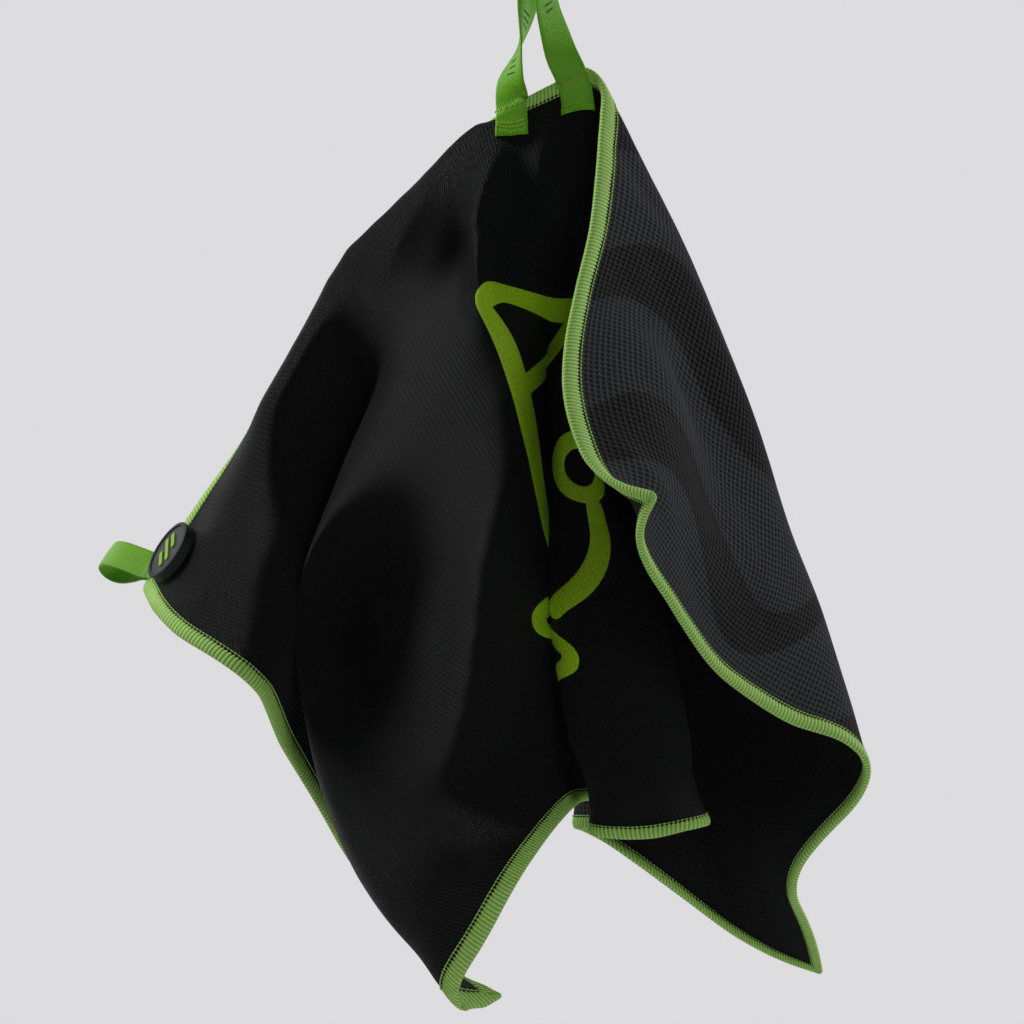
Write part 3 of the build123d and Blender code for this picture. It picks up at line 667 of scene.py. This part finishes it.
def needle_line(name, frames, side):
    """The needle thread beside the bead on one face: a chain of short sunk stitches."""
    rim, inward, normal, at = frames
    angle = np.linspace(0, 2 * math.pi, 6, endpoint=False)
    crest = np.cos(2 * math.pi * at / RIB_PITCH)
    radius = 0.3 + 0.12 * crest
    lift = side * (HALF_THICK + 0.16 + 0.12 * crest)
    centre = rim + inward * 7.3 + normal * lift[:, None]
    points = (centre[:, None] + inward[:, None] * (np.cos(angle)[None] * radius[:, None])[..., None]
              + normal[:, None] * (np.sin(angle)[None] * radius[:, None])[..., None])
    flat = np.stack([np.broadcast_to(at[:, None], points.shape[:2]),
                     np.broadcast_to(angle, points.shape[:2])], -1)
    # The crest value given to the mesh paints a highlight on each stitch's crest and shade between.
    return grid_mesh(name, points, flat, [overlock], closed_across=True, cap=True,
                     crest_shades=np.repeat(crest * 0.5 + 0.5, 6))


main_frames, flap_frames = edge_frames(MAIN_STOPS), edge_frames(FLAP_STOPS)
main_edging = overlock_bead("overlock_towel", main_frames)
flap_edging = overlock_bead("overlock_flap", flap_frames)
main_needles = [needle_line("needle_line_towel_front", main_frames, 1),
                needle_line("needle_line_towel_back", main_frames, -1)]
flap_needles = [needle_line("needle_line_flap_front", flap_frames, 1),
                needle_line("needle_line_flap_back", flap_frames, -1)]
print("overlocked", round(main_frames[3][-1] + flap_frames[3][-1]), "mm with",
      round((main_frames[3][-1] + flap_frames[3][-1]) / RIB_PITCH), "ribs")

# %% [markdown]
# ## The print
# The mark is a plain golf sign of this lesson's own: a pin with its flag, the hole, a ball and the
# line of its roll. Screen ink leaves a thin raised film with a clean edge, so each stroke is a ribbon
# of its own, drawn on the flat cloth and laid 0.3 mm above the nap, with its rim turned down.

# %% Strokes of the printed mark


def stroke(line, width, step=1.6, columns=7):
    """Places of a stroke with round ends along a smooth line of (u, v) stops, as rows of a grid."""
    stops = np.array([(0.0, 0.0, u, v, 0.0) for u, v in line])
    path = run_along(stops, step)[:, 2:4]
    ahead = np.gradient(path, axis=0)
    ahead /= np.linalg.norm(ahead, axis=1)[:, None]
    beside = np.stack([-ahead[:, 1], ahead[:, 0]], 1)
    turn = np.linspace(math.pi / 2, 0.12, 6)
    start = path[0] - ahead[0] * (np.sin(turn) * width / 2)[:, None]
    end = path[-1] + ahead[-1] * (np.sin(turn[::-1]) * width / 2)[:, None]
    path = np.vstack([start, path, end])
    beside = np.vstack([np.repeat(beside[:1], 6, 0), beside, np.repeat(beside[-1:], 6, 0)])
    half = np.r_[np.cos(turn), np.ones(len(path) - 12), np.cos(turn[::-1])] * width / 2
    across = np.linspace(-1, 1, columns)
    return path[:, None] + beside[:, None] * (half[:, None] * across[None])[..., None]


def printed(name, places, made, lift=HALF_THICK + 0.3):
    """Lays a grid of places on the printed face as a thin film whose border is turned down."""
    rows, columns = places.shape[:2]
    border = np.zeros((rows, columns), bool)
    border[0] = border[-1] = border[:, 0] = border[:, -1] = True
    heights = np.where(border, HALF_THICK - 0.25, lift)
    points = on_cloth(places.reshape(-1, 2), heights.ravel()).reshape(rows, columns, 3)
    return grid_mesh(name, points, places, [made])


def curve_of(centre, radii, start, end, count=13):
    """Stops along an ellipse arc, angles in degrees."""
    turns = np.radians(np.linspace(start, end, count))
    return [(centre[0] + radii[0] * math.cos(a), centre[1] + radii[1] * math.sin(a)) for a in turns]


MARK = {
    "print_pin": ([(-57, 108), (-56, 160), (-52, 215), (-46, 262), (-40, 292)], 15.0),
    "print_flag_top": ([(-54, 106), (-38, 106), (-18, 116), (6, 118)], 15.0),
    "print_flag_tail": ([(6, 120), (-8, 138), (-30, 150), (-50, 158)], 13.0),
    "print_hole": (curve_of((-38, 298), (40, 13), -60, 245), 10.0),
    "print_ball": (curve_of((22, 196), (15, 15), -70, 268), 11.0),
    "print_roll": ([(26, 218), (24, 238), (14, 258), (-2, 274)], 11.0),
}
print_pieces = [printed(name, stroke(line, width), ink) for name, (line, width) in MARK.items()]
print(len(print_pieces), "strokes")

# %% [markdown]
# ## The hanging strap
# The strap is one length of flat webbing: sewn to the face at its left tab, up with a twist, over the
# hook, down, and sewn again at its right tab. It could be a curve with a flat bevel, but a curve
# can't be told where to lie on cloth. Here the route is a list of stations, each with a centre, the
# direction of the webbing's width and its normal, and the same list later places its ink and thread.

# %% Route of the strap
HOOK_AXIS = np.array([math.cos(math.radians(50)), math.sin(math.radians(50)), 0.0])
OUT_LEFT = np.cross([0.0, 0.0, 1.0], HOOK_AXIS)
BIGHT_R = 4.0 + 0.7


def unit(rows):
    return rows / np.linalg.norm(rows, axis=-1, keepdims=True)


def tab_lift(v):
    """How far the webbing's middle stands out from the cloth's middle: high over the edging, then low."""
    return 1.65 + 1.05 * np.clip((9.0 - v) / 5.0, 0, 1) ** 2 * (3 - 2 * np.clip((9.0 - v) / 5.0, 0, 1))


def tab_stations(side, drops):
    """Centre and width direction of the tab at each v in drops."""
    u = side * STRAP_SPREAD / 2
    at = np.array([(u, v) for v in drops])
    centre = on_cloth(at, tab_lift(at[:, 1]))
    width = on_cloth(at + (6, 0)) - on_cloth(at - (6, 0))
    return centre, unit(width)


drops = np.linspace(STRAP_TAB_LENGTH, 0.0, 12)
left_tab, right_tab = tab_stations(-1, drops), tab_stations(1, drops)
left_foot, right_foot = left_tab[0][-1], right_tab[0][-1]
top_left, top_right = OUT_LEFT * BIGHT_R, -OUT_LEFT * BIGHT_R

# Each row is (turn of the width in degrees, 0, x, y, z).
LEFT_STRAND = [(356, 0, *(left_foot + (1.0, 0.2, 2.4))),
               (326, 0, -13.0, -2.2, -70), (296, 0, -11.2, -2, -61),
               (262, 0, -7.6, 0, -47), (232, 0, -5.0, 1.5, -30), (230, 0, *(top_left - (0, 0, 12))),
               (230, 0, *top_left)]
RIGHT_STRAND = [(230, 0, *top_right), (230, 0, *(top_right - (0, 0, 12))), (227, 0, 4.1, -3.5, -30),
                (206, 0, 8.4, -3.5, -47), (187, 0, 12.0, -3.4, -58),
                (180, 0, *(right_foot + (-1.0, -0.2, 2.4)))]


def free_stations(rows):
    run = run_along(rows, 1.6)
    turn, centre = np.radians(run[:, 0]), run[:, 2:]
    ahead = unit(np.gradient(centre, axis=0))
    width = np.stack([np.cos(turn), np.sin(turn), np.zeros(len(turn))], 1)
    width = unit(width - ahead * (width * ahead).sum(1)[:, None])
    return centre, width


bend = np.linspace(0, math.pi, 15)[1:-1]
over_hook = (OUT_LEFT[None] * (np.cos(bend) * BIGHT_R)[:, None]
             + np.array([[0, 0, 1.0]]) * (np.sin(bend) * BIGHT_R)[:, None])
left_free, right_free = free_stations(LEFT_STRAND), free_stations(RIGHT_STRAND)
stations = [left_tab, left_free, (over_hook, np.repeat(-HOOK_AXIS[None], len(bend), 0)), right_free,
            (right_tab[0][::-1], -right_tab[1][::-1])]
centre, width = (np.vstack([run[k] for run in stations]) for k in range(2))
strap_at = np.r_[0, np.cumsum(np.linalg.norm(np.diff(centre, axis=0), axis=1))]
for k in range(1, len(width)):
    if width[k] @ width[k - 1] < 0:
        width[k] *= -1
normal = unit(np.cross(width, unit(np.gradient(centre, axis=0))))
print("strap length", round(strap_at[-1], 1), "mm")

# %% Webbing mesh
# Outline of the webbing: across its width, and out from its middle. The selvedges are rounded.
WEB = [(-8, 0), (-7.85, 0.4), (-7.2, 0.62), (-5, 0.65), (-2.5, 0.65), (0, 0.65), (2.5, 0.65), (5, 0.65),
       (7.2, 0.62), (7.85, 0.4), (8, 0), (7.85, -0.4), (7.2, -0.62), (5, -0.65), (2.5, -0.65), (0, -0.65),
       (-2.5, -0.65), (-5, -0.65), (-7.2, -0.62), (-7.85, -0.4)]


def webbing_strip(name, centre, width, normal, at, made):
    """A closed strip of webbing along stations."""
    across = np.array([x for x, _ in WEB])
    out = np.array([h for _, h in WEB])
    cup = 0.25 * (1 - (across / 8) ** 2)
    points = (centre[:, None] + width[:, None] * across[None, :, None]
              + normal[:, None] * (out + cup)[None, :, None])
    flat = np.stack([np.broadcast_to(across, points.shape[:2]),
                     np.broadcast_to(at[:, None], points.shape[:2])], -1)
    return grid_mesh(name, points, flat, [made], closed_across=True, cap=True)


strap = webbing_strip("hanging_strap", centre, width, normal, strap_at, webbing)


def on_strap(x, along, lift):
    """Points over the strap at x across and along its length."""
    middle, beside, out = (np.stack([np.interp(along, strap_at, rows[:, k]) for k in range(3)], -1)
                           for rows in (centre, width, normal))
    return middle + unit(beside) * np.asarray(x)[..., None] + unit(out) * np.asarray(lift)[..., None]


# Plain slanted bars are printed along the strap on both faces, in groups of three.
bars = []
for middle in (34, 46, 58, 120, 132, 144):
    for offset in (-3.2, 0.0, 3.2):
        for face in (1, -1):
            s, t = np.meshgrid(np.linspace(-1, 1, 7), np.linspace(-1, 1, 5), indexing="ij")
            x, along = s * 3.6, middle + offset + s * 1.3 + t * 0.65
            rim = (np.abs(s) > 0.99) | (np.abs(t) > 0.99)
            lift = np.where(rim, face * 0.4, face * 0.75 + 0.25 * (1 - (x / 8) ** 2))
            points = on_strap(x, along, lift)
            bars.append(grid_mesh(f"strap_bar_{len(bars)}", points, np.stack([x, along], -1), [dark_ink]))
print(len(bars), "printed bars on the strap")

# %% [markdown]
# ## Stitches
# Each stitch is a short length of thread that dips into the cloth at both ends. One function makes
# all the stitches of a row as one mesh from pairs of places, because a row is sewn in one go.

# %% Stitch rows


def stitches(name, pairs, lift, radius=0.28, laid=on_cloth):
    """Short threads between pairs of places (u, v), lift millimetres out."""
    vertices, faces, flat = [], [], []
    share = np.linspace(0, 1, 6)
    angle = np.linspace(0, 2 * math.pi, 6, endpoint=False)
    for a, b in pairs:
        a, b = np.array(a, float), np.array(b, float)
        sink = -0.5 * np.abs(2 * share - 1) ** 4
        line = laid(a[None] + (b - a)[None] * share[:, None], lift + sink)
        ahead = unit(np.gradient(line, axis=0))
        up = laid(((a + b) / 2)[None], lift + 1.0)[0] - laid(((a + b) / 2)[None], lift)[0]
        side = unit(np.cross(ahead, up))
        over = np.cross(side, ahead)
        base = len(vertices)
        ring = (line[:, None] + side[:, None] * (np.cos(angle) * radius)[None, :, None]
                + over[:, None] * (np.sin(angle) * radius)[None, :, None])
        vertices += (ring.reshape(-1, 3) * MM).tolist()
        flat += [(s * 2.0, t * 0.3) for s in share for t in angle]
        for i in range(5):
            for j in range(6):
                k = (j + 1) % 6
                row = base + i * 6
                faces.append((row + j, row + k, row + 6 + k, row + 6 + j))
        faces += [tuple(base + j for j in range(6))[::-1], tuple(base + 30 + j for j in range(6))]
    return finish_mesh(name, vertices, faces, flat, [sewing])


def zigzag(u_low, u_high, v_low, v_high, count):
    u = np.linspace(u_low, u_high, count + 1)
    v = [v_low if k % 2 else v_high for k in range(count + 1)]
    return [((u[k], v[k]), (u[k + 1], v[k + 1])) for k in range(count)]


def straight(u_low, u_high, v, count, fill=0.72):
    pitch = (u_high - u_low) / count
    return [((u_low + pitch * k, v), (u_low + pitch * (k + fill), v)) for k in range(count)]


seam_rows, hem_rows, box_rows = [], [], []
for side in (-1, 1):
    middle = side * STRAP_SPREAD / 2
    seam_rows += zigzag(middle - 7.2, middle + 7.2, 1.2, 3.2, 12)
    hem_rows += straight(middle - 7.4, middle + 7.4, STRAP_TAB_LENGTH - 3.2, 9)
    box_rows += straight(middle - 7.0, middle + 7.0, STRAP_TAB_LENGTH - 5.2, 8)
tab_thread = [stitches("strap_seam_zigzag", seam_rows, 3.75),
              stitches("strap_hem_stitches", hem_rows + box_rows, 2.75)]


def hem_roll(name, side):
    """The folded end of the tab: a second layer of webbing with ribs across it."""
    s, t = np.meshgrid(np.linspace(-1, 1, 65), np.linspace(0, 1, 9), indexing="ij")
    u = side * STRAP_SPREAD / 2 + s * 7.9
    v = STRAP_TAB_LENGTH - 2.7 + t * 3.0
    crown = np.sin(t * math.pi) ** 0.5
    lift = 2.15 + crown * (0.62 + 0.1 * np.cos(s * 7.9 * 2 * math.pi / 1.4)) - 0.25 * (1 - crown)
    lift[0], lift[-1] = 1.6, 1.6
    points = on_cloth(np.stack([u, v], -1).reshape(-1, 2), lift.ravel()).reshape(*u.shape, 3)
    return grid_mesh(name, points, np.stack([s * 7.9, v], -1), [webbing])


hems = [hem_roll("strap_left_hem", -1), hem_roll("strap_right_hem", 1)]
print(len(seam_rows) + len(hem_rows) + len(box_rows), "stitches on the tabs")

# %% [markdown]
# ## The pull tab
# A shorter piece of the same webbing is folded into a loop, its two ends sewn together behind the
# corner. Webbing on edge keeps a round bend and two straight sides, so the route is a teardrop.

# %% Pull tab loop
PULL_ALONG = unit(np.array([-0.765, 0.64, 0.077]))
PULL_EDGE = np.array([0.48, 0.487, 0.73])
PULL_EDGE = unit(PULL_EDGE - PULL_ALONG * (PULL_EDGE @ PULL_ALONG))
PULL_CROSS = np.cross(PULL_EDGE, PULL_ALONG)
PULL_ROOT = BADGE_CORNER + CORNER_ALONG * 12 + CLOTH_SHIFT + PULL_ALONG * 4.4
HALF_DROP = [(-5.5, 0.75), (-1, 0.78), (2, 1.2), (6, 2.7), (12, 4.7), (17, 6.0), (21, 6.35), (25, 5.5),
             (27.8, 3.1)]
TEARDROP = HALF_DROP + [(28.6, 0)] + [(along, -across) for along, across in reversed(HALF_DROP)]
run = run_along([(0, 0, along, across, 0) for along, across in TEARDROP], 1.0)[:, 2:4]
loop_centre = PULL_ROOT + run[:, :1] * PULL_ALONG + run[:, 1:] * PULL_CROSS
loop_width = np.repeat(PULL_EDGE[None], len(run), 0)
loop_ahead = unit(np.gradient(loop_centre, axis=0))
loop_normal = unit(np.cross(loop_width, loop_ahead))
loop_at = np.r_[0, np.cumsum(np.linalg.norm(np.diff(loop_centre, axis=0), axis=1))]
loop_centre = loop_centre + np.outer(np.sin(loop_at / loop_at[-1] * math.pi) ** 2 * 0.8, PULL_EDGE)
pull_loop = webbing_strip("pull_tab_loop", loop_centre, loop_width, loop_normal, loop_at, tab_webbing)


def on_loop(places, lift):
    """Points on the outer side of the joined ends: (across the width, along from the root)."""
    places = np.asarray(places, float)
    lift = np.broadcast_to(np.asarray(lift, float), (len(places),))
    return (PULL_ROOT + places[:, 1:] * PULL_ALONG + places[:, :1] * PULL_EDGE
            + (lift[:, None] + 0.8) * PULL_CROSS)


loop_rows = straight(-7, 7, -1.2, 8) + straight(-7, 7, 0.6, 8)


def under_loop(places, lift):
    """The same places on the other side of the joined ends."""
    out = np.broadcast_to(np.asarray(lift, float), (len(places),)) + 0.8
    return on_loop(places, lift) - (2 * out)[:, None] * PULL_CROSS


pull_thread = [stitches("pull_tab_stitches_upper", loop_rows, 0.85, laid=on_loop),
               stitches("pull_tab_stitches_lower", loop_rows, 0.85, laid=under_loop)]
print("pull tab loop", round(loop_at[-1], 1), "mm of webbing")

# %% [markdown]
# ## The badge
# The badge is a moulded rubber cup over a steel keeper and a disc magnet, held through the cloth by a
# rivet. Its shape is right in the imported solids, so they stay and only get better surfaces. Moulded
# rubber is matt with a fine spark-eroded grain; the plate is harder and a little glossier.

# %% Badge materials


def moulded(name, colour, light, roughness, grain, strength, metallic=0.0):
    """A moulded or plated surface with a fine grain, grain in grains per millimetre."""
    made, tree, shader = start_material(name, Roughness=roughness, Metallic=metallic)
    place = add(tree, "TexCoord").outputs["Object"]
    fine = add(tree, "TexNoise", {"Vector": place, "Scale": grain * 1000, "Detail": 3.0})
    broad = add(tree, "TexNoise", {"Vector": place, "Scale": 90.0, "Detail": 3.0})
    cloudy = math_of(tree, "MULTIPLY", broad.outputs["Fac"], 0.5)
    share = math_of(tree, "MULTIPLY_ADD", fine.outputs["Fac"], 0.4, cloudy)
    join(tree, shader, colour=mix(tree, share, linear(colour), linear(light)),
         roughness=math_of(tree, "MULTIPLY_ADD", broad.outputs["Fac"], 0.16, roughness - 0.08),
         height=fine.outputs["Fac"], depth=0.00012, strength=strength)
    return made


rubber = moulded("moulded_silicone_rubber", "#141516", "#2A2B2D", 0.6, 1.4, 0.5)
plate = moulded("moulded_abs_plate", "#1B1D1F", "#33363A", 0.42, 2.2, 0.25)
mark_rubber = moulded("raised_lime_rubber", "#86B80E", "#B9E62A", 0.45, 1.6, 0.3)
nickel = moulded("plated_nickel", "#B9B7B0", "#D8D6D0", 0.22, 1.2, 0.1, metallic=1.0)
zinc = moulded("zinc_plated_steel", "#A6A8AC", "#C6C8CC", 0.35, 1.0, 0.15, metallic=1.0)
BADGE_FINISH = {"badge_housing": rubber, "badge_back_cap": rubber, "badge_face": plate,
                "badge_emblem": mark_rubber, "badge_magnet": nickel, "badge_keeper": zinc,
                "badge_rivet": zinc}
for node, made in BADGE_FINISH.items():
    part = frame["nodes"][node]
    part.data.materials.clear()
    part.data.materials.append(made)
print(len(BADGE_FINISH), "badge parts finished")

# %% [markdown]
# ## Motion
# The towel swings on the strap's seam, the flap turns at its fold, and the pull tab flips at its
# root. What is sewn to the towel rides on it, and the bars printed on the strap ride on the strap.
# The strap, the flap with its edging and the pull tab are kept where they hang.

# %% Riding
joints = {joint["name"]: joint for joint in frame["joints"]}
for piece in [main_cloth, main_edging, *main_needles, *print_pieces, *tab_thread, *hems]:
    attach(piece, "towel")
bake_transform(strap)
for bar in bars:
    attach(bar, "strap")

fold = joints["flap_fold"]
hinge, hinge_axis = np.array(fold["pos_m"]), unit(np.array(fold["axis"]))
lie = np.array([v.co for v in flap_cloth.data.vertices]).mean(0) - hinge
lie = unit(lie - hinge_axis * (lie @ hinge_axis))
for piece in [flap_cloth, flap_edging, *flap_needles]:
    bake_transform(piece)

for piece in [pull_loop, *pull_thread]:
    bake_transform(piece)
print("flap leaves its fold along", lie.round(2))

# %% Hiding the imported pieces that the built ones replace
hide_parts("towel_cloth")
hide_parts("front_flap_cloth")
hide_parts("edging_top", "edging_left", "edging_bottom", "edging_right")
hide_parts("flap_edging_top", "flap_edging_side")
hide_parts("strap_bight", "strap_left_strand", "strap_right_strand", "strap_left_tab",
            "strap_right_tab")
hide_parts("strap_seam_thread")
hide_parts("strap_hem_thread")
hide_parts("pull_tab")
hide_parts("pull_tab_thread")

# %% [markdown]

# %% [markdown]
# ## Studio
# The towel hangs over a pale floor. The surroundings are a pale screen on the far side, which fades
# to a dim grey towards the camera's side, so black cloth has little to reflect there. Black cloth
# only shows its form where light grazes it, so a small soft light stands high at the left,
# one edge light stands at the right and a little behind, and one fill in front.

# %% Floor and surroundings
FLOOR_Z = -0.95
scene = bpy.context.scene
edge = np.linspace(-2000, 2000, 9)
floor_grid = np.stack(np.meshgrid(edge, edge, [FLOOR_Z * 1000], indexing="ij"), -1)[:, :, 0]
paper, tree, shader = start_material("pale_floor", Roughness=0.95, Specular_IOR_Level=0.1)
tooth = add(tree, "TexNoise", {"Vector": add(tree, "TexCoord").outputs["Object"], "Scale": 400.0})
join(tree, shader, colour=mix(tree, tooth.outputs["Fac"], linear("#DDDDE0"), linear("#E1E1E4")))
floor = grid_mesh("floor", floor_grid, floor_grid[..., :2], [paper])

world = bpy.data.worlds.new("studio_air")
world.use_nodes = True
air = world.node_tree
direction = add(air, "SeparateXYZ", {"Vector": add(air, "TexCoord").outputs["Generated"]})
far_side = ramp(air, direction.outputs["Y"], 0.1, 0.9)
screen = mix(air, far_side, linear("#3A3A3C"), linear("#DDDCDF"))
air.links.new(screen, air.nodes["Background"].inputs["Color"])
air.nodes["Background"].inputs["Strength"].default_value = 1.0
scene.world = world

# %% Lights
AIM = Vector((-0.0126, 0.0, -0.277))


def soft_light(name, place, size, watts):
    """A white rectangular light turned to the towel's middle, metres and watts."""
    lamp = bpy.data.lights.new(name, "AREA")
    lamp.shape, lamp.size, lamp.size_y, lamp.energy = "RECTANGLE", size[0], size[1], watts
    stand = bpy.data.objects.new(name, lamp)
    stand.location = place
    stand.rotation_euler = (AIM - Vector(place)).to_track_quat("-Z", "Y").to_euler()
    scene.collection.objects.link(stand)


soft_light("key_left", (-1.2, 0.05, 0.65), (0.3, 0.45), 12)
soft_light("edge_right", (1.2, 0.3, 0.3), (0.3, 1.0), 6)
soft_light("front_fill", (0.55, -1.7, 0.55), (0.6, 0.6), 5.0)
scene.view_settings.view_transform = "Standard"

# %% Camera
FRAME_WIDTH, LENS, SENSOR = 0.4947, 300.0, 36.0
camera = bpy.data.cameras.new("camera")
camera.lens, camera.sensor_width = LENS, SENSOR
camera.clip_start, camera.clip_end = 0.1, 30.0
viewer = bpy.data.objects.new("camera", camera)
viewer.location = AIM + Vector((0, -FRAME_WIDTH * LENS / SENSOR, 0))
viewer.rotation_euler = (math.radians(90), 0, 0)
scene.collection.objects.link(viewer)
scene.camera = viewer
